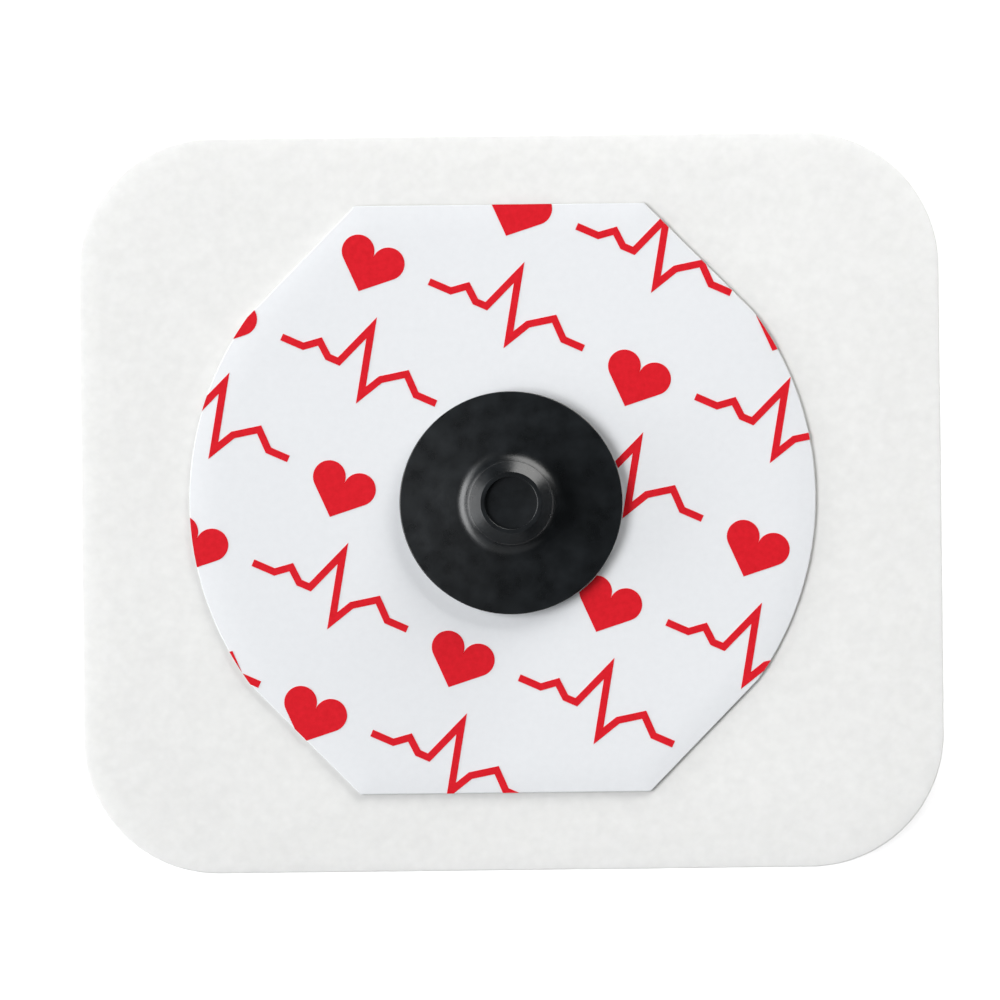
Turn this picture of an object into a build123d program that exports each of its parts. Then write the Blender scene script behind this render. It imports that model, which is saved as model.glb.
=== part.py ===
"""Disposable ECG monitoring electrode of the radiolucent foam kind, in millimetres.

The electrode lies on its skin side. The origin is at the middle of that side, on the stud's axis.
X runs along the pad, Y across it, and Z up through the stud, where the lead's snap connector goes on.
"""

import os
from math import atan2, ceil, cos, radians, sin, tan

from build123d import *

os.makedirs("parts", exist_ok=True)

# Foam pad, die cut from closed-cell foam tape
pad_length = 41.0
pad_width = 35.0
pad_thickness = 1.6
pad_corner_radius = 6.4
pad_edge_roll = 0.6  # the cutting die presses the top edge round
well_diameter = 18.0  # hole that holds the gel

# Label, cut from a tape that sets its straight sides
label_tape_width = 28.0
label_flat_length = 13.8  # straight side, from corner cut to corner cut
label_side_radius = 14.9  # the two round sides
label_side_angle = 36.0  # a round side reaches this far above and below the X axis
label_thickness = 0.2
label_shift = (-0.4, 0.2)  # the label is laid a little off the stud's axis
label_hole_gap = 0.1  # radial, round the eyelet's post

# Ink on the label: rows of hearts and heartbeat traces
ink_thickness = 0.02
ink_gap = 0.05  # bare ring round the stud's flange
row_slant = -24.0
row_pitch = 5.2
row_stagger = 5.4  # each row starts this much further on than the row below
motif_pitch = 13.8  # from one heart to the next in its row
pattern_shift = (-1.8, 2.9)  # the middle row's heart from the label's middle, along and across the row
heart_lobe_radius = 0.78
heart_depth = 1.75  # from the notch between the lobes down to the tip
trace_start = 2.9  # from a heart's middle to its trace
trace_length = 8.0
trace_spike = 2.1  # height of the tall beat
trace_line_width = 0.34

# Snap stud, moulded in one piece
flange_diameter = 10.6
flange_thickness = 0.65
flange_rise = 0.12  # the flange's top climbs this much from rim to neck
flange_rim_bevel = 0.15
neck_root_round = 1.0  # blend from the flange up into the neck
neck_straight = 0.2  # from the blend to where the head flares out
head_diameter = 3.95
head_overhang = 0.33  # how far the head stands out past the neck
head_underside_angle = 45.0
head_land = 0.8  # straight band at the head's widest
head_shoulder_width = 0.52  # sloping lead-in that the connector slides over
head_shoulder_drop = 0.35
head_shoulder_blend = 0.12
head_rim_flat = 0.2  # flat ring on top, between the shoulder and the dimple
dimple_depth = 0.3

# Eyelet, the sensor, whose post is pressed into the stud
eyelet_diameter = 8.4
eyelet_thickness = 0.5
eyelet_edge_bevel = 0.2
post_diameter = 2.0
post_grip = 2.0  # how far the post reaches into the stud
post_tip_chamfer = 0.25
post_fit = 0.01  # radial, so that the pressed surfaces share no volume
post_end_gap = 0.15  # over the post's tip in its bore

# Gel, poured round the eyelet
gel_gap = 0.1  # radial, inside the foam's hole
gel_recess = 0.05  # the gel stops this far above the adhesive

# Radii and levels that several pieces share
flange_radius = flange_diameter / 2
head_radius = head_diameter / 2
neck_radius = head_radius - head_overhang
post_radius = post_diameter / 2
label_bottom = pad_thickness
label_top = label_bottom + label_thickness
post_top = label_top + post_grip


def draw_label_outline(mode=Mode.ADD):
    """Two straight sides, two round sides and four corner cuts, about the sketch's origin."""
    half_width = label_tape_width / 2
    corner = (label_flat_length / 2, half_width)
    turn = radians(label_side_angle)
    round_start = (label_side_radius * cos(turn), label_side_radius * sin(turn))
    with BuildLine() as outline:
        Polyline((0, half_width), corner, round_start)
        CenterArc((0, 0), label_side_radius, 0, label_side_angle)
        mirror(about=Plane.XZ)
        mirror(about=Plane.YZ)
    make_face(outline.edges(), mode=mode)


# Foam pad with its rolled top edge and the hole for the gel
with BuildPart() as foam_pad:
    with BuildSketch():
        RectangleRounded(pad_length, pad_width, pad_corner_radius)
    extrude(amount=pad_thickness)
    fillet(foam_pad.faces().sort_by(Axis.Z)[-1].edges(), pad_edge_roll)
    Hole(well_diameter / 2)
foam_pad.part.label = "foam_pad"

# Label, with a hole on the stud's axis for the eyelet's post
label_plane = Plane((*label_shift, label_bottom))
stud_axis_on_label = (-label_shift[0], -label_shift[1])
with BuildPart() as label:
    with BuildSketch(label_plane):
        draw_label_outline()
        with Locations(stud_axis_on_label):
            Circle(post_radius + label_hole_gap, mode=Mode.SUBTRACT)
    extrude(amount=label_thickness)
label.part.label = "label"

# One heart and the heartbeat trace that follows it, on the row's base line
side_turn = 2 * atan2(heart_lobe_radius, heart_depth)
side_top = (heart_depth * sin(side_turn), heart_depth * cos(side_turn) - heart_depth)
with BuildSketch() as heart:
    with BuildLine():
        ThreePointArc((0, 0), (heart_lobe_radius, heart_lobe_radius), side_top)
        Line(side_top, (0, -heart_depth))
        mirror(about=Plane.YZ)
    make_face()


def beat_point(along, height):
    """A point of the trace, in shares of its length and of its tall spike."""
    return trace_start + along * trace_length, height * trace_spike


with BuildSketch() as heartbeat:
    with BuildLine():
        Polyline(
            beat_point(0, 0),
            beat_point(0.14, 0),
            beat_point(0.22, 0.25),
            beat_point(0.3, 0),
            beat_point(0.37, 0),
            beat_point(0.47, 1),
            beat_point(0.57, -0.5),
            beat_point(0.64, 0),
            beat_point(0.77, 0.35),
            beat_point(0.87, 0),
            beat_point(1, 0),
        )
    trace(line_width=trace_line_width)

# Ink: slanted rows of the two motifs, trimmed by the label's edge and kept clear of the stud
row_reach = ceil(label_side_radius / row_pitch)
column_reach = ceil((label_side_radius + row_reach * row_stagger) / motif_pitch) + 1
motif_places = [
    (pattern_shift[0] + column * motif_pitch + row * row_stagger, pattern_shift[1] + row * row_pitch)
    for row in range(-row_reach, row_reach + 1)
    for column in range(-column_reach, column_reach + 1)
]
with BuildPart() as label_print:
    with BuildSketch(label_plane.offset(label_thickness)):
        with Locations(Rotation(0, 0, row_slant)):
            with Locations(*motif_places):
                add(heart.sketch)
                add(heartbeat.sketch)
        draw_label_outline(mode=Mode.INTERSECT)
        with Locations(stud_axis_on_label):
            Circle(flange_radius + ink_gap, mode=Mode.SUBTRACT)
    extrude(amount=ink_thickness)
label_print.part.label = "label_print"

# Eyelet: a flat head under the label, and a post through it
with BuildPart() as eyelet:
    with Locations((0, 0, label_bottom)):
        Cylinder(eyelet_diameter / 2, eyelet_thickness, align=(Align.CENTER, Align.CENTER, Align.MAX))
    chamfer(eyelet.edges().sort_by(Axis.Z)[0], eyelet_edge_bevel)
    with Locations((0, 0, label_bottom)):
        Cylinder(post_radius, post_top - label_bottom, align=(Align.CENTER, Align.CENTER, Align.MIN))
    chamfer(eyelet.edges().sort_by(Axis.Z)[-1], post_tip_chamfer)
eyelet.part.label = "eyelet"

# Stud: one turned outline from the flange up to the dimple, and the bore for the post below
flange_top = label_top + flange_thickness
neck_bottom = flange_top + flange_rise
neck_top = neck_bottom + neck_root_round + neck_straight
land_bottom = neck_top + head_overhang / tan(radians(head_underside_angle))
land_top = land_bottom + head_land
head_top = land_top + head_shoulder_drop
shoulder_radius = head_radius - head_shoulder_width
dimple_radius = shoulder_radius - head_rim_flat
dimple_bottom = head_top - dimple_depth
bore_radius = post_radius + post_fit
bore_top = post_top + post_end_gap
with BuildPart() as stud:
    with BuildSketch(Plane.XZ):
        with BuildLine():
            FilletPolyline(
                (bore_radius, label_top),
                (flange_radius, label_top),
                (flange_radius, flange_top - flange_rim_bevel),
                (flange_radius - flange_rim_bevel, flange_top),
                (neck_radius, neck_bottom),
                (neck_radius, neck_top),
                (head_radius, land_bottom),
                (head_radius, land_top),
                (shoulder_radius, head_top),
                (dimple_radius, head_top),
                (dimple_radius, dimple_bottom),
                (0, dimple_bottom),
                radius=[0, 0, 0, neck_root_round, 0, 0, head_shoulder_blend, head_shoulder_blend, 0, 0],
            )
            Polyline(
                (0, dimple_bottom),
                (0, bore_top),
                (bore_radius, bore_top),
                (bore_radius, label_top),
            )
        make_face()
    revolve(axis=Axis.Z)
stud.part.label = "stud"

# Gel, which takes the eyelet's head into its top
with BuildPart() as gel_disc:
    with Locations((0, 0, gel_recess)):
        Cylinder(
            well_diameter / 2 - gel_gap,
            label_bottom - gel_recess,
            align=(Align.CENTER, Align.CENTER, Align.MIN),
        )
    add(eyelet.part, mode=Mode.SUBTRACT)
gel_disc.part.label = "gel_disc"

export_step(foam_pad.part, "parts/foam_pad.step")
export_step(label.part, "parts/label.step")
export_step(label_print.part, "parts/label_print.step")
export_step(eyelet.part, "parts/eyelet.step")
export_step(stud.part, "parts/stud.step")
export_step(gel_disc.part, "parts/gel_disc.step")
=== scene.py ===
"""Foam monitoring electrode with a snap stud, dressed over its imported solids. Everything is in metres."""

import math

import bpy
import numpy as np
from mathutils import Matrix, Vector, noise


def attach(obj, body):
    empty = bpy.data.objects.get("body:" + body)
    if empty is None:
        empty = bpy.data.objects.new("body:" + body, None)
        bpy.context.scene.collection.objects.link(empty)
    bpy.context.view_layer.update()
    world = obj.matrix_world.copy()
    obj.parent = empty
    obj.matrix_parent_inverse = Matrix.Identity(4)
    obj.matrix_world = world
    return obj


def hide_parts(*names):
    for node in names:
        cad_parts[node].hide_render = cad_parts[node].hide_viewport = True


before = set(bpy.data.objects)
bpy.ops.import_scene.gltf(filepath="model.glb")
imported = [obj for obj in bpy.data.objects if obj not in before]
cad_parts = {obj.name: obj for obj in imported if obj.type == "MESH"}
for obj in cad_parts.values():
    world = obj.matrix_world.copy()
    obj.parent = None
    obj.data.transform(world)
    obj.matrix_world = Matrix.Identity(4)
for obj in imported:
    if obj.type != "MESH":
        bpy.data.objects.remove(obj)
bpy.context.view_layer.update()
mm = 0.001

# Foam pad: a rounded rectangle of white closed-cell polyethylene foam, die cut from a roll of tape. Its
# cell skin is finely pebbled, its border falls off a little and its cut sides show open cells. Skin
# adhesive coats the underside, and a round hole in the middle holds the gel.
pad_length = 41.0 * mm
pad_width = 35.0 * mm
pad_thickness = 1.6 * mm
pad_corner = 6.4 * mm
edge_roll = 0.08 * mm
crown_drop = 0.06 * mm
crown_width = 3.2 * mm
crown_curve = 1.4
well_radius = 9.0 * mm
cell_size = 0.46 * mm
cell_depth = 0.011 * mm
swell_size = 5 * mm
swell_depth = 0.02 * mm
side_pebbling = 0.8
pebble_fade = 0.6 * mm
label_middle = Vector((-0.4 * mm, 0.2 * mm))
label_radius = 14.9 * mm
label_half_width = 14.0 * mm


def rounded_outline(inset, long_steps=150, short_steps=118, corner_steps=54):
    """Points round the pad, that far inside its edge, with their outward normals."""
    half_x = pad_length / 2 - pad_corner
    half_y = pad_width / 2 - pad_corner
    radius = pad_corner - inset
    points = []
    normals = []
    corners = [(half_x, -half_y, -90), (half_x, half_y, 0), (-half_x, half_y, 90), (-half_x, -half_y, 180)]
    for turn, (x, y, start) in enumerate(corners):
        for step in range(corner_steps):
            angle = math.radians(start + 90 * step / corner_steps)
            normals.append((math.cos(angle), math.sin(angle)))
            points.append((x + radius * math.cos(angle), y + radius * math.sin(angle)))
        angle = math.radians(start + 90)
        outward = np.array((math.cos(angle), math.sin(angle)))
        begin = np.array((x, y)) + radius * outward
        following = corners[(turn + 1) % 4]
        finish = np.array(following[:2]) + radius * outward
        steps = short_steps if turn % 2 == 0 else long_steps
        for step in range(steps):
            points.append(tuple(begin + (finish - begin) * step / steps))
            normals.append(tuple(outward))
    return np.array(points), np.array(normals)


def new_piece(name, points, faces):
    """A mesh object in the scene."""
    mesh = bpy.data.meshes.new(name)
    mesh.from_pydata(points, [], faces)
    mesh.validate()
    piece = bpy.data.objects.new(name, mesh)
    bpy.context.scene.collection.objects.link(piece)
    return piece


def closed_loft(name, rings):
    """A closed skin over rings of points that lead from the first ring round and back to it."""
    count = len(rings[0])
    faces = []
    for ring in range(len(rings)):
        here = ring * count
        there = (ring + 1) % len(rings) * count
        for step in range(count):
            after = (step + 1) % count
            faces.append((here + step, here + after, there + after, there + step))
    return new_piece(name, np.concatenate(rings).tolist(), faces)


def smooth_to(piece, degrees):
    """Shades a piece smooth, but leaves the edges that turn more than this sharp."""
    piece.data.polygons.foreach_set("use_smooth", [True] * len(piece.data.polygons))
    piece.data.set_sharp_from_angle(angle=math.radians(degrees))


def ring_at(outline, height):
    """A flat outline's points, lifted to one height."""
    return np.column_stack((outline, np.full(len(outline), height)))


def label_clearance(point):
    """How far a point lies outside the label, seen from above."""
    x = point[0] - label_middle.x
    y = point[1] - label_middle.y
    return max(math.hypot(x, y) - label_radius, abs(y) - label_half_width, 0.0)


def pebbled(ring, normals, depth):
    """Presses the creases between the foam's cells, and a faint unevenness, into a ring of points."""
    out = ring.copy()
    for row, (point, normal) in enumerate(zip(ring, normals)):
        near = noise.voronoi(Vector(point) / cell_size)[0][0]
        swell = noise.noise(Vector(point) / swell_size) * 0.5 + 0.5
        share = min(label_clearance(point) / pebble_fade, 1.0)
        press = cell_depth * min(near, 1.0) ** 2 + swell_depth * swell
        out[row] -= normal * depth * share * press
    return out


side_outline, side_normals = rounded_outline(0)
flat_normals = np.column_stack((side_normals, np.zeros(len(side_normals))))
up_normals = np.tile((0.0, 0.0, 1.0), (len(side_normals), 1))
roll_bottom = pad_thickness - crown_drop - edge_roll
foam_rings = [ring_at(side_outline, 0.0)]
side_ring_shares = (0.35, 0.7)
for share in side_ring_shares:
    foam_rings.append(pebbled(ring_at(side_outline, roll_bottom * share), flat_normals, side_pebbling))
roll_steps = 9
for step in range(roll_steps):
    angle = math.pi / 2 * step / roll_steps
    outline, _ = rounded_outline(edge_roll * (1 - math.cos(angle)))
    lean = flat_normals * math.cos(angle) + up_normals * math.sin(angle)
    foam_rings.append(pebbled(ring_at(outline, roll_bottom + edge_roll * math.sin(angle)), lean, 1.0))
top_outline, _ = rounded_outline(edge_roll)
around = np.arctan2(top_outline[:, 1], top_outline[:, 0])
well_outline = well_radius * np.column_stack((np.cos(around), np.sin(around)))
reach = np.linalg.norm(top_outline - well_outline, axis=1)
top_steps = 58
for step in range(top_steps):
    share = step / top_steps
    outline = top_outline * (1 - share) + well_outline * share
    dip = crown_drop * np.clip(1 - reach * share / crown_width, 0, 1) ** crown_curve
    foam_rings.append(pebbled(np.column_stack((outline, pad_thickness - dip)), up_normals, 1.0))
well_ring_shares = (1.0, 0.66, 0.33, 0.0)
for share in well_ring_shares:
    foam_rings.append(ring_at(well_outline, pad_thickness * share))
underside_ring_shares = (0.8, 0.6, 0.4, 0.2, 0.06)
for share in underside_ring_shares:
    foam_rings.append(ring_at(side_outline * (1 - share) + well_outline * share, 0.0))
foam = closed_loft("foam_pad_skin", foam_rings)
smooth_to(foam, degrees=50)

glow_width = 4.0 * mm
glow_depth = 0.42
glow_curve = 0.5


def edge_distance(point):
    """How far a point lies inside the pad's outline, seen from above."""
    out_x = abs(point[0]) - pad_length / 2 + pad_corner
    out_y = abs(point[1]) - pad_width / 2 + pad_corner
    beyond = math.hypot(max(out_x, 0.0), max(out_y, 0.0)) + min(max(out_x, out_y), 0.0)
    return max(pad_corner - beyond, 0.0)


glow = foam.data.attributes.new("edge_glow", "FLOAT", "POINT")
for vertex in foam.data.vertices:
    share = max(0.0, 1 - edge_distance(vertex.co) / glow_width)
    glow.data[vertex.index].value = glow_depth * share ** glow_curve


def new_material(name):
    """A node material with its shader, and the object's own coordinates to hang textures on."""
    material = bpy.data.materials.new(name)
    material.use_nodes = True
    nodes = material.node_tree.nodes
    shader = nodes["Principled BSDF"]
    coordinates = nodes.new("ShaderNodeTexCoord")
    return material, nodes, material.node_tree.links, shader, coordinates.outputs["Object"]


def cell_texture(nodes, links, place, size):
    """Distance from the middles of irregular cells of that size."""
    texture = nodes.new("ShaderNodeTexVoronoi")
    texture.inputs["Scale"].default_value = 1 / size
    links.new(place, texture.inputs["Vector"])
    return texture.outputs["Distance"]


def cloud_texture(nodes, links, place, size, detail=3.0, roughness=0.55):
    """Soft irregular patches of that size."""
    texture = nodes.new("ShaderNodeTexNoise")
    texture.inputs["Scale"].default_value = 1 / size
    texture.inputs["Detail"].default_value = detail
    texture.inputs["Roughness"].default_value = roughness
    links.new(place, texture.inputs["Vector"])
    return texture.outputs["Fac"]


def two_tone(nodes, links, value, low, high, start=0.3, end=0.7):
    """A colour that runs from low to high as the value goes from start to end."""
    ramp = nodes.new("ShaderNodeValToRGB")
    first, last = ramp.color_ramp.elements
    first.position = start
    first.color = (*low, 1.0)
    last.position = end
    last.color = (*high, 1.0)
    links.new(value, ramp.inputs["Fac"])
    return ramp.outputs["Color"]


def multiplied(nodes, links, first, second):
    """Two colours multiplied."""
    mix = nodes.new("ShaderNodeMix")
    mix.data_type = "RGBA"
    mix.blend_type = "MULTIPLY"
    mix.inputs["Factor"].default_value = 1.0
    links.new(first, mix.inputs["A"])
    links.new(second, mix.inputs["B"])
    return mix.outputs["Result"]


def value_range(nodes, links, value, low, high):
    """A value from 0 to 1, spread over low to high."""
    span = nodes.new("ShaderNodeMapRange")
    span.inputs["To Min"].default_value = low
    span.inputs["To Max"].default_value = high
    links.new(value, span.inputs["Value"])
    return span.outputs["Result"]


def add_bump(nodes, links, shader, height, strength, distance, under=None):
    """Relief from a texture, on top of a finer relief where one is given."""
    bump = nodes.new("ShaderNodeBump")
    bump.inputs["Strength"].default_value = strength
    bump.inputs["Distance"].default_value = distance
    links.new(height, bump.inputs["Height"])
    if under is not None:
        links.new(under, bump.inputs["Normal"])
    links.new(bump.outputs["Normal"], shader.inputs["Normal"])
    return bump.outputs["Normal"]


plain_white = (1.0, 1.0, 1.0)
cell_middle = (0.896, 0.895, 0.882)
crease_painted_shade = (0.878, 0.877, 0.864)
blotch_shade = (0.955, 0.955, 0.955)
haze_shade = (0.985, 0.985, 0.985)
foam_skin, nodes, links, shader, place = new_material("closed_cell_foam")
cells = cell_texture(nodes, links, place, size=0.4 * mm)
# The creases between the foam's cells are painted a little darker than the cells' middles, as painted
# shade.
cell_tone_with_crease_shade = two_tone(nodes, links, cells, cell_middle, crease_painted_shade, start=0.1, end=0.8)
blotch = cloud_texture(nodes, links, place, size=0.6 * mm, detail=2.0, roughness=0.6)
blotch_tone = two_tone(nodes, links, blotch, blotch_shade, plain_white)
haze = cloud_texture(nodes, links, place, size=4 * mm)
haze_tone = two_tone(nodes, links, haze, haze_shade, plain_white)
uneven_tone = multiplied(nodes, links, cell_tone_with_crease_shade, blotch_tone)
links.new(multiplied(nodes, links, uneven_tone, haze_tone), shader.inputs["Base Color"])
links.new(value_range(nodes, links, haze, low=0.62, high=0.78), shader.inputs["Roughness"])
shader.inputs["Specular IOR Level"].default_value = 0.3
edge_glow = nodes.new("ShaderNodeAttribute")
edge_glow.attribute_name = "edge_glow"
links.new(edge_glow.outputs["Fac"], shader.inputs["Subsurface Weight"])
shader.inputs["Subsurface Radius"].default_value = (1.0, 1.0, 0.95)
shader.inputs["Subsurface Scale"].default_value = 1.4 * mm
grain = cloud_texture(nodes, links, place, size=0.12 * mm, detail=2.0)
fine_relief = add_bump(nodes, links, shader, grain, strength=0.25, distance=0.01 * mm)
add_bump(nodes, links, shader, cells, strength=-0.5, distance=0.02 * mm, under=fine_relief)
foam.data.materials.append(foam_skin)

thin_coat = (0.80, 0.79, 0.74)
thick_coat = (0.86, 0.855, 0.82)
adhesive, nodes, links, shader, place = new_material("skin_adhesive")
smear = cloud_texture(nodes, links, place, size=2.2 * mm, detail=4.0)
links.new(two_tone(nodes, links, smear, thin_coat, thick_coat), shader.inputs["Base Color"])
links.new(value_range(nodes, links, smear, low=0.12, high=0.3), shader.inputs["Roughness"])
shader.inputs["Coat Weight"].default_value = 0.5
shader.inputs["Coat Roughness"].default_value = 0.12
add_bump(nodes, links, shader, smear, strength=0.3, distance=0.03 * mm)
foam.data.materials.append(adhesive)

# The foam's cut sides are painted darker than its top, as painted shade, and the pits of their open cells
# darker still, as painted shadow.
painted_pit_shadow = (0.55, 0.55, 0.54)
shaded_cell_wall = (0.68, 0.68, 0.67)
cut_side, nodes, links, shader, place = new_material("foam_cut_side")
pits = cell_texture(nodes, links, place, size=0.3 * mm)
cut_side_painted_shade = two_tone(nodes, links, pits, painted_pit_shadow, shaded_cell_wall, start=0.1, end=0.5)
links.new(cut_side_painted_shade, shader.inputs["Base Color"])
shader.inputs["Roughness"].default_value = 0.85
shader.inputs["Specular IOR Level"].default_value = 0.2
add_bump(nodes, links, shader, pits, strength=0.5, distance=0.06 * mm)
foam.data.materials.append(cut_side)

adhesive_index = 1
cut_side_index = 2
facing_down = -0.9
underside_reach = 0.01 * mm
upright = 0.5
for polygon in foam.data.polygons:
    if polygon.normal.z < facing_down and polygon.center.z < underside_reach:
        polygon.material_index = adhesive_index
    elif abs(polygon.normal.z) < upright and polygon.center.z < roll_bottom:
        polygon.material_index = cut_side_index
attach(foam, "root")
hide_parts("foam_pad")

# Label: white satin film, die cut from a tape, so two of its sides are straight, two are round and the
# corners are cut off. Its own adhesive holds it on the foam, and it bridges the hole with the gel below.
label_half_flat = 6.9 * mm
label_turn = math.radians(36)
label_thickness = 0.2 * mm
label_top = pad_thickness + label_thickness
label_edge_round = 0.05 * mm
label_hole = 1.1 * mm
flat_end_shift = 0.41


def label_outline(inset, arc_steps=48, cut_steps=30, flat_steps=30):
    """Points round the label, that far inside its edge: an arc, a corner cut and a flat, mirrored."""
    quarter = []
    radius = label_radius - inset
    for step in range(arc_steps):
        angle = label_turn * step / arc_steps
        quarter.append((radius * math.cos(angle), radius * math.sin(angle)))
    begin = np.array((radius * math.cos(label_turn), radius * math.sin(label_turn)))
    finish = np.array((label_half_flat - inset * flat_end_shift, label_half_width - inset))
    for step in range(cut_steps):
        quarter.append(tuple(begin + (finish - begin) * step / cut_steps))
    for step in range(flat_steps):
        quarter.append((finish[0] * (1 - step / flat_steps), finish[1]))
    half = quarter + [(0.0, finish[1])] + [(-x, y) for x, y in reversed(quarter[1:])]
    full = half + [(-radius, 0.0)] + [(x, -y) for x, y in reversed(half[1:])]
    return np.array(full) + np.array(label_middle)


label_edge = label_outline(0)
label_rings = [ring_at(label_edge, pad_thickness), ring_at(label_edge, label_top - label_edge_round)]
round_steps = 4
for step in range(1, round_steps + 1):
    angle = math.pi / 2 * step / round_steps
    outline = label_outline(label_edge_round * (1 - math.cos(angle)))
    label_rings.append(ring_at(outline, label_top - label_edge_round * (1 - math.sin(angle))))
label_inner = label_outline(label_edge_round)
around = np.arctan2(label_inner[:, 1], label_inner[:, 0])
hole_outline = label_hole * np.column_stack((np.cos(around), np.sin(around)))
film_steps = 10
for step in range(1, film_steps + 1):
    share = step / film_steps
    label_rings.append(ring_at(label_inner * (1 - share) + hole_outline * share, label_top))
label_rings.append(ring_at(hole_outline, pad_thickness))
label_rings.append(ring_at((hole_outline + label_edge) / 2, pad_thickness))
label = closed_loft("label_film", label_rings)
smooth_to(label, degrees=40)

satin_shade = (0.832, 0.846, 0.868)
satin_white = (0.857, 0.871, 0.893)
broad_shade = (0.988, 0.988, 0.99)
film, nodes, links, shader, place = new_material("white_label_film")
satin = cloud_texture(nodes, links, place, size=0.35 * mm, detail=5.0, roughness=0.7)
satin_tone = two_tone(nodes, links, satin, satin_shade, satin_white)
broad = cloud_texture(nodes, links, place, size=7 * mm)
broad_tone = two_tone(nodes, links, broad, broad_shade, plain_white)
links.new(multiplied(nodes, links, satin_tone, broad_tone), shader.inputs["Base Color"])
links.new(value_range(nodes, links, satin, low=0.38, high=0.5), shader.inputs["Roughness"])
shader.inputs["Specular IOR Level"].default_value = 0.4
satin_relief = add_bump(nodes, links, shader, satin, strength=0.08, distance=0.01 * mm)
add_bump(nodes, links, shader, broad, strength=0.15, distance=0.05 * mm, under=satin_relief)
label.data.materials.append(film)

# The label's cut edge is painted dark grey, as painted shade, although the film itself is white.
painted_edge_shade = (0.30, 0.30, 0.29)
painted_edge_grey = (0.38, 0.38, 0.37)
cut_edge, nodes, links, shader, place = new_material("label_cut_edge")
layer = cloud_texture(nodes, links, place, size=0.2 * mm)
links.new(two_tone(nodes, links, layer, painted_edge_shade, painted_edge_grey), shader.inputs["Base Color"])
links.new(value_range(nodes, links, layer, low=0.55, high=0.75), shader.inputs["Roughness"])
label.data.materials.append(cut_edge)

cut_edge_index = 1
steep = 0.3
for polygon in label.data.polygons:
    if abs(polygon.normal.z) < steep:
        polygon.material_index = cut_edge_index
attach(label, "root")
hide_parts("label")

# Print: hearts and heartbeat traces in one red ink, laid on the film in slanted rows before the label is
# cut out, so the label's edge trims them. The ink is a thin film with a faint mottle, and there is none
# under the stud.
deep_red = (0.66, 0.004, 0.012)
bright_red = (0.78, 0.009, 0.022)
ink, nodes, links, shader, place = new_material("red_printing_ink")
mottle = cloud_texture(nodes, links, place, size=0.25 * mm, detail=4.0, roughness=0.65)
ink_tone = two_tone(nodes, links, mottle, deep_red, bright_red, start=0.25, end=0.75)
links.new(ink_tone, shader.inputs["Base Color"])
links.new(value_range(nodes, links, mottle, low=0.45, high=0.6), shader.inputs["Roughness"])
shader.inputs["Specular IOR Level"].default_value = 0.2
add_bump(nodes, links, shader, mottle, strength=0.12, distance=0.008 * mm)
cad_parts["label_print"].material_slots[0].material = ink

# Eyelet: the sensor, a moulded disc with a post, coated with silver and silver chloride. It is pushed up
# through the label from below and its post is pressed into the stud, so both pinch the label.
dark_silver = (0.34, 0.34, 0.35)
pale_silver = (0.58, 0.575, 0.57)
silver, nodes, links, shader, place = new_material("silver_chloride_coating")
tarnish = cloud_texture(nodes, links, place, size=0.8 * mm, detail=5.0, roughness=0.6)
links.new(two_tone(nodes, links, tarnish, dark_silver, pale_silver), shader.inputs["Base Color"])
links.new(value_range(nodes, links, tarnish, low=0.4, high=0.62), shader.inputs["Roughness"])
shader.inputs["Metallic"].default_value = 0.7
add_bump(nodes, links, shader, tarnish, strength=0.15, distance=0.01 * mm)
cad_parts["eyelet"].material_slots[0].material = silver

# Stud: black carbon-filled plastic, moulded in one piece. A thin flange sits on the label, a rounded root
# leads up to the neck, and the snap head above it has a straight band, a sloping shoulder and a dimple.
flange_radius = 5.3 * mm
flange_thickness = 0.65 * mm
flange_rise = 0.12 * mm
rim_round = 0.05 * mm
root_round = 1.0 * mm
neck_straight = 0.2 * mm
neck_top_round = 0.08 * mm
head_radius = 1.975 * mm
head_overhang = 0.33 * mm
head_under_round = 0.06 * mm
head_land = 0.8 * mm
shoulder_width = 0.52 * mm
shoulder_drop = 0.35 * mm
shoulder_blend = 0.03 * mm
head_rim_flat = 0.2 * mm
dimple_depth = 0.3 * mm
dimple_rim_round = 0.015 * mm
dimple_floor_round = 0.02 * mm
bore_radius = 1.01 * mm
bore_depth = 2.15 * mm


def rounded_profile(corners, arc_step=math.radians(6), fewest_steps=4):
    """A turned outline: (radius, height, rounding) corners joined by straight lines and arcs."""
    outline = [corners[0][:2]]
    for before, corner, after in zip(corners, corners[1:], corners[2:]):
        here = Vector(corner[:2])
        rounding = corner[2]
        if rounding == 0:
            outline.append(tuple(here))
            continue
        back = (Vector(before[:2]) - here).normalized()
        ahead = (Vector(after[:2]) - here).normalized()
        half = back.angle(ahead) / 2
        middle = here + (back + ahead).normalized() * rounding / math.sin(half)
        start = here + back * rounding / math.tan(half) - middle
        end = here + ahead * rounding / math.tan(half) - middle
        turn = start.angle_signed(end)
        steps = max(fewest_steps, round(abs(turn) / arc_step))
        for step in range(steps + 1):
            angle = -turn * step / steps
            x = start.x * math.cos(angle) - start.y * math.sin(angle)
            y = start.x * math.sin(angle) + start.y * math.cos(angle)
            outline.append((middle.x + x, middle.y + y))
    outline.append(corners[-1][:2])
    return outline


def turned(name, outline, segments=160):
    """A closed solid of revolution whose outline starts and ends on the axis."""
    points = [(0.0, 0.0, outline[0][1])]
    faces = []
    inner = outline[1:-1]
    for radius, height in inner:
        for step in range(segments):
            angle = 2 * math.pi * step / segments
            points.append((radius * math.cos(angle), radius * math.sin(angle), height))
    points.append((0.0, 0.0, outline[-1][1]))
    last = len(points) - 1
    for step in range(segments):
        after = (step + 1) % segments
        faces.append((0, 1 + step, 1 + after))
        for ring in range(len(inner) - 1):
            here = 1 + ring * segments
            there = here + segments
            faces.append((here + step, there + step, there + after, here + after))
        end = 1 + (len(inner) - 1) * segments
        faces.append((end + step, last, end + after))
    return new_piece(name, points, faces)


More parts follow.
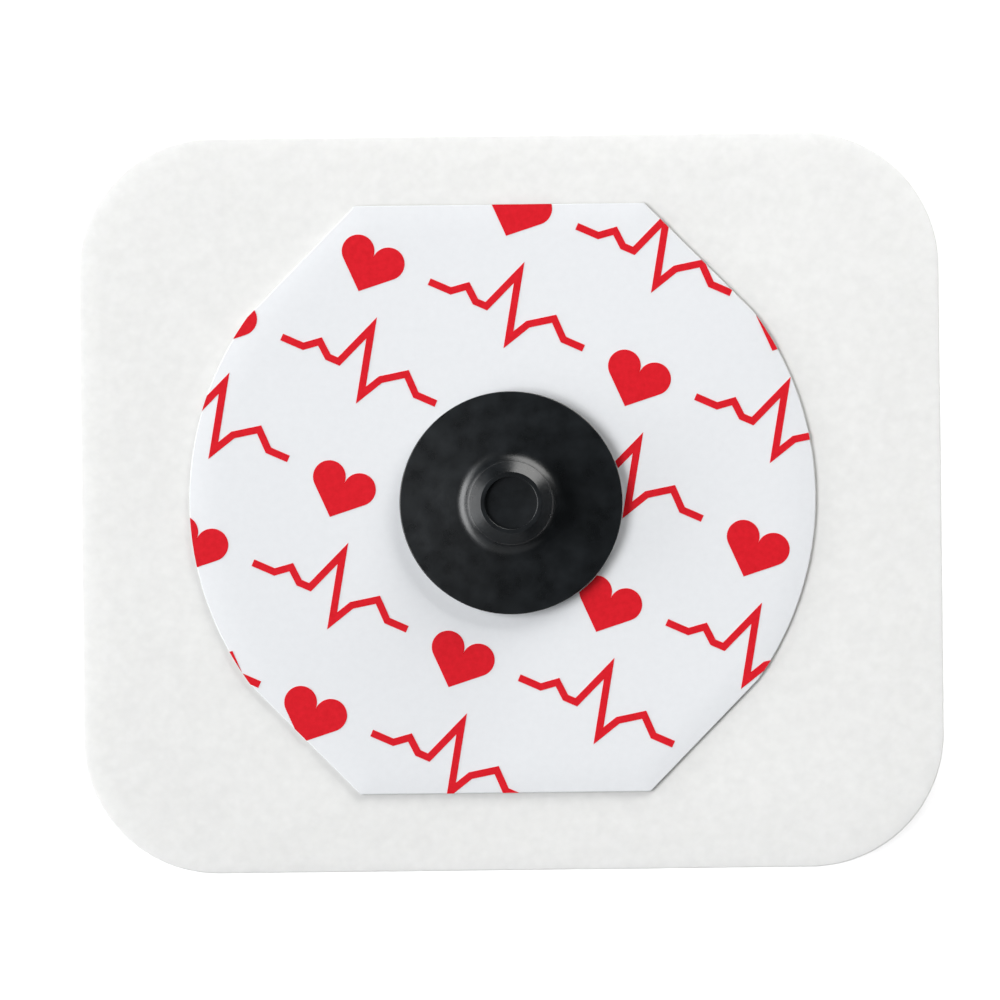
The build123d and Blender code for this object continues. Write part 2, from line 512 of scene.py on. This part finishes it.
flange_top = label_top + flange_thickness
neck_radius = head_radius - head_overhang
neck_bottom = flange_top + flange_rise
neck_top = neck_bottom + root_round + neck_straight
land_bottom = neck_top + head_overhang
land_top = land_bottom + head_land
head_top = land_top + shoulder_drop
dimple_radius = head_radius - shoulder_width - head_rim_flat
dimple_bottom = head_top - dimple_depth
stud = turned("snap_stud", rounded_profile([
    (0.0, dimple_bottom, 0.0),
    (dimple_radius, dimple_bottom, dimple_floor_round),
    (dimple_radius, head_top, dimple_rim_round),
    (head_radius - shoulder_width, head_top, shoulder_blend),
    (head_radius, land_top, shoulder_blend),
    (head_radius, land_bottom, head_under_round),
    (neck_radius, neck_top, neck_top_round),
    (neck_radius, neck_bottom, root_round),
    (flange_radius, flange_top, rim_round),
    (flange_radius, label_top, rim_round),
    (bore_radius, label_top, 0.0),
    (bore_radius, label_top + bore_depth, 0.0),
    (0.0, label_top + bore_depth, 0.0),
]))
smooth_to(stud, degrees=50)

carbon_black = (0.0036, 0.0048, 0.0058)
carbon_grey = (0.0082, 0.0106, 0.0128)
speck_shade = (0.88, 0.88, 0.88)
carbon, nodes, links, shader, place = new_material("carbon_filled_plastic")
flow = cloud_texture(nodes, links, place, size=0.9 * mm, detail=2.0)
flow_tone = two_tone(nodes, links, flow, carbon_black, carbon_grey)
speck = cloud_texture(nodes, links, place, size=0.1 * mm)
speck_tone = two_tone(nodes, links, speck, speck_shade, plain_white, start=0.35)
links.new(multiplied(nodes, links, flow_tone, speck_tone), shader.inputs["Base Color"])
links.new(value_range(nodes, links, flow, low=0.23, high=0.35), shader.inputs["Roughness"])
shader.inputs["Specular IOR Level"].default_value = 0.7
moulded_skin = add_bump(nodes, links, shader, speck, strength=0.12, distance=0.01 * mm)
add_bump(nodes, links, shader, flow, strength=0.18, distance=0.03 * mm, under=moulded_skin)
stud.data.materials.append(carbon)
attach(stud, "root")
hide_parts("stud")

# Gel: clear conductive hydrogel, poured into the foam's hole over the eyelet and set there. Its skin side
# is glossy and a little hollow, with a soft rim where it meets the foam.
gel_radius = 8.9 * mm
gel_bottom = 0.05 * mm
gel_rim_round = 0.3 * mm
gel_hollow = 0.12 * mm
hollow_steepness = 2.2
hollow_steps = 16
eyelet_radius = 4.2 * mm
eyelet_bottom = 1.1 * mm
eyelet_bevel = 0.2 * mm
gel_corners = [
    (0.0, eyelet_bottom, 0.0),
    (eyelet_radius - eyelet_bevel, eyelet_bottom, 0.0),
    (eyelet_radius, eyelet_bottom + eyelet_bevel, 0.0),
    (eyelet_radius, pad_thickness, 0.0),
    (gel_radius, pad_thickness, 0.0),
    (gel_radius, gel_bottom, gel_rim_round),
]
for step in range(1, hollow_steps):
    share = step / hollow_steps
    rise = gel_hollow * math.sin(math.pi / 2 * min(share * hollow_steepness, 1.0)) ** 2
    gel_corners.append((gel_radius * (1 - share), gel_bottom + rise, 0.0))
gel_corners.append((0.0, gel_bottom + gel_hollow, 0.0))
gel = turned("gel_disc_set", rounded_profile(gel_corners))
smooth_to(gel, degrees=35)

gel_tint = (0.80, 0.87, 0.89)
gel_clear = (0.88, 0.93, 0.94)
hydrogel, nodes, links, shader, place = new_material("clear_hydrogel")
ripple = cloud_texture(nodes, links, place, size=1.6 * mm, detail=2.0)
links.new(two_tone(nodes, links, ripple, gel_tint, gel_clear), shader.inputs["Base Color"])
links.new(value_range(nodes, links, ripple, low=0.06, high=0.16), shader.inputs["Roughness"])
shader.inputs["Transmission Weight"].default_value = 0.75
shader.inputs["IOR"].default_value = 1.36
add_bump(nodes, links, shader, ripple, strength=0.25, distance=0.05 * mm)
gel.data.materials.append(hydrogel)
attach(gel, "root")
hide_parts("gel_disc")

# Studio: a matt white table with a low white wall round it. A large soft panel stands on the left with two
# lower cards, a small panel close behind on the right, a low card on the right and a weak fill in front.
# The room is dim. The table is lifted to white where it is seen, and it still takes the pad's shadow.
table_size = 4.0
table_gap = 0.02 * mm
table_lift = 0.7
wall_radius = 1.6
wall_height = 0.075
wall_sides = 96
wall_lift = 1.0
laminate_shade = (0.74, 0.74, 0.74)
laminate_white = (0.76, 0.76, 0.76)
laminate_patch = 0.025


def white_stage(name, points, faces, white_lift):
    """A matt white sheet of the studio, lifted towards white where it is seen or mirrored."""
    sheet = new_piece(name, points, faces)
    material, nodes, links, shader, place = new_material(name)
    laminate = cloud_texture(nodes, links, place, laminate_patch)
    links.new(two_tone(nodes, links, laminate, laminate_shade, laminate_white), shader.inputs["Base Color"])
    shader.inputs["Roughness"].default_value = 0.9
    shader.inputs["Specular IOR Level"].default_value = 0.1
    path = nodes.new("ShaderNodeLightPath")
    seen = nodes.new("ShaderNodeMath")
    seen.operation = "MAXIMUM"
    links.new(path.outputs["Is Camera Ray"], seen.inputs[0])
    links.new(path.outputs["Is Glossy Ray"], seen.inputs[1])
    shown = nodes.new("ShaderNodeMath")
    shown.operation = "MAXIMUM"
    links.new(seen.outputs["Value"], shown.inputs[0])
    links.new(path.outputs["Is Transmission Ray"], shown.inputs[1])
    lift = nodes.new("ShaderNodeMath")
    lift.operation = "MULTIPLY"
    lift.inputs[1].default_value = white_lift
    links.new(shown.outputs["Value"], lift.inputs[0])
    shader.inputs["Emission Color"].default_value = (*plain_white, 1.0)
    links.new(lift.outputs["Value"], shader.inputs["Emission Strength"])
    sheet.data.materials.append(material)
    return sheet


half = table_size / 2
table_corners = [(-half, -half, 0), (half, -half, 0), (half, half, 0), (-half, half, 0)]
table = white_stage("table_top", table_corners, [(0, 1, 2, 3)], table_lift)
table.location.z = -table_gap
wall_points = []
wall_faces = []
for side in range(wall_sides):
    angle = 2 * math.pi * side / wall_sides
    foot = (wall_radius * math.cos(angle), wall_radius * math.sin(angle))
    wall_points.extend([(*foot, 0.0), (*foot, wall_height)])
    here = 2 * side
    there = 2 * ((side + 1) % wall_sides)
    wall_faces.append((here, here + 1, there + 1, there))
white_stage("low_wall", wall_points, wall_faces, wall_lift)


def soft_panel(name, azimuth, elevation, distance, width, height, power, colour=plain_white):
    """A rectangular soft light that faces the electrode from that bearing."""
    light = bpy.data.lights.new(name, "AREA")
    light.shape = "RECTANGLE"
    light.size = width
    light.size_y = height
    light.energy = power
    light.color = colour
    panel = bpy.data.objects.new(name, light)
    bearing = math.radians(azimuth)
    rise = math.radians(elevation)
    level = math.cos(rise)
    toward = Vector((level * math.cos(bearing), level * math.sin(bearing), math.sin(rise)))
    panel.location = toward * distance
    panel.rotation_euler = toward.to_track_quat("Z", "Y").to_euler()
    bpy.context.scene.collection.objects.link(panel)


panel_white = (0.98, 0.99, 1.0)
sky_white = (0.97, 0.985, 1.0)
warm_white = (1.0, 0.995, 0.98)
soft_panel("left_panel", azimuth=180, elevation=52, distance=3.0, width=2.3, height=1.5, power=71.5,
           colour=panel_white)
soft_panel("left_card", azimuth=180, elevation=18, distance=3.0, width=3.3, height=1.0, power=18.5,
           colour=sky_white)
soft_panel("low_card", azimuth=176, elevation=8, distance=3.0, width=4.4, height=0.55, power=37.0)
soft_panel("back_panel", azimuth=61, elevation=26, distance=0.36, width=0.30, height=0.21, power=0.96,
           colour=warm_white)
soft_panel("right_card", azimuth=-6, elevation=1.6, distance=1.0, width=1.33, height=0.05, power=1.2)
soft_panel("front_fill", azimuth=-112, elevation=44, distance=3.0, width=4.6, height=2.4, power=11.5,
           colour=panel_white)

world = bpy.data.worlds.new("dim_room")
world.use_nodes = True
world.node_tree.nodes["Background"].inputs["Color"].default_value = (*sky_white, 1.0)
world.node_tree.nodes["Background"].inputs["Strength"].default_value = 0.02
bpy.context.scene.world = world
bpy.context.scene.view_settings.view_transform = "Standard"

# Camera: a long lens straight above the electrode. It stands a hair off the pad's middle and is turned by
# less than a degree, so that the pad lies in the picture as it was laid on the table.
camera_distance = 0.4
camera_offset = (-0.52 * mm, 0.14 * mm)
camera_turn = math.radians(-0.65)
picture_width = 47.6 * mm
sensor_width = 36.0
camera_data = bpy.data.cameras.new("above")
camera_data.sensor_width = sensor_width
camera_data.lens = sensor_width * camera_distance / picture_width
camera_data.clip_start = 0.01
camera = bpy.data.objects.new("above", camera_data)
camera.location = (*camera_offset, pad_thickness + camera_distance)
camera.rotation_euler = (0.0, 0.0, camera_turn)
bpy.context.scene.collection.objects.link(camera)
bpy.context.scene.camera = camera
